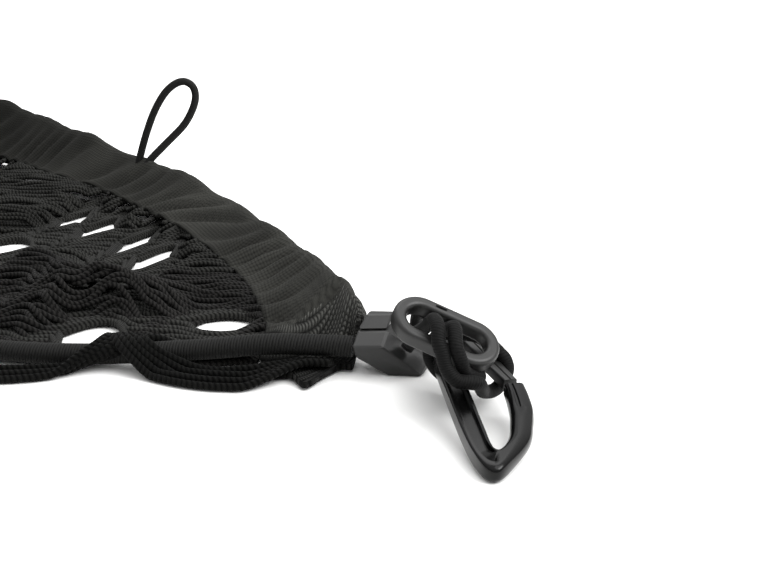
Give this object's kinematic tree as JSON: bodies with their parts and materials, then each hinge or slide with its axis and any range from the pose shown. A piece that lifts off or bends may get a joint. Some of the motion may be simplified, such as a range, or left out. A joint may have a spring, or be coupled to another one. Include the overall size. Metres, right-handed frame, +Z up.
{
  "type": "elastic cargo net",
  "caption": "Arched elastic cargo net with a rolled band, a bungee front edge, hanger loops, and a cord clamp, oval ring and sprung snap hook at each front corner.",
  "frame": {"origin": "middle of the net's footprint, on the flat surface that it lies on", "axes": "+X along the straight front towards the right-hand corner, +Y from the front towards the top of the arch, +Z up"},
  "size_m": [0.8936, 0.3691, 0.0643],
  "materials": {
    "knit": "open black elastic chain-knit",
    "ribbed_band": "fine ribbed black elastic knit",
    "braid": "braided black bungee cover",
    "satin_plastic": "satin black moulded nylon",
    "gloss_plastic": "polished black moulded plastic"
  },
  "bodies": {
    "net": {"net_mesh": "knit", "border_band": "ribbed_band", "front_bungee": "braid", "clamp_base_right": "satin_plastic", "clamp_cap_right": "satin_plastic", "oval_ring_right": "satin_plastic", "hook_body_right": "gloss_plastic", "hook_loop_right": "braid", "hanger_loop_right": "braid", "clamp_base_left": "satin_plastic", "clamp_cap_left": "satin_plastic", "oval_ring_left": "satin_plastic", "hook_body_left": "gloss_plastic", "hook_loop_left": "braid", "hanger_loop_left": "braid"},
    "gate_right": {"hook_gate_right": "satin_plastic"},
    "gate_left": {"hook_gate_left": "satin_plastic"}
  },
  "joints": [
    {"name": "gate_hinge_right", "type": "hinge", "parent": "net", "child": "gate_right", "pos_m": [0.42597, -0.12435, 0.01126], "axis": [0.0723, -0.1361, 0.9881], "range_deg": [-8, 0], "stiffness_Nm_per_rad": 0.02},
    {"name": "gate_hinge_left", "type": "hinge", "parent": "net", "child": "gate_left", "pos_m": [-0.42597, -0.12435, 0.01126], "axis": [0.0723, 0.1361, -0.9881], "range_deg": [-8, 0], "stiffness_Nm_per_rad": 0.02}
  ]
}
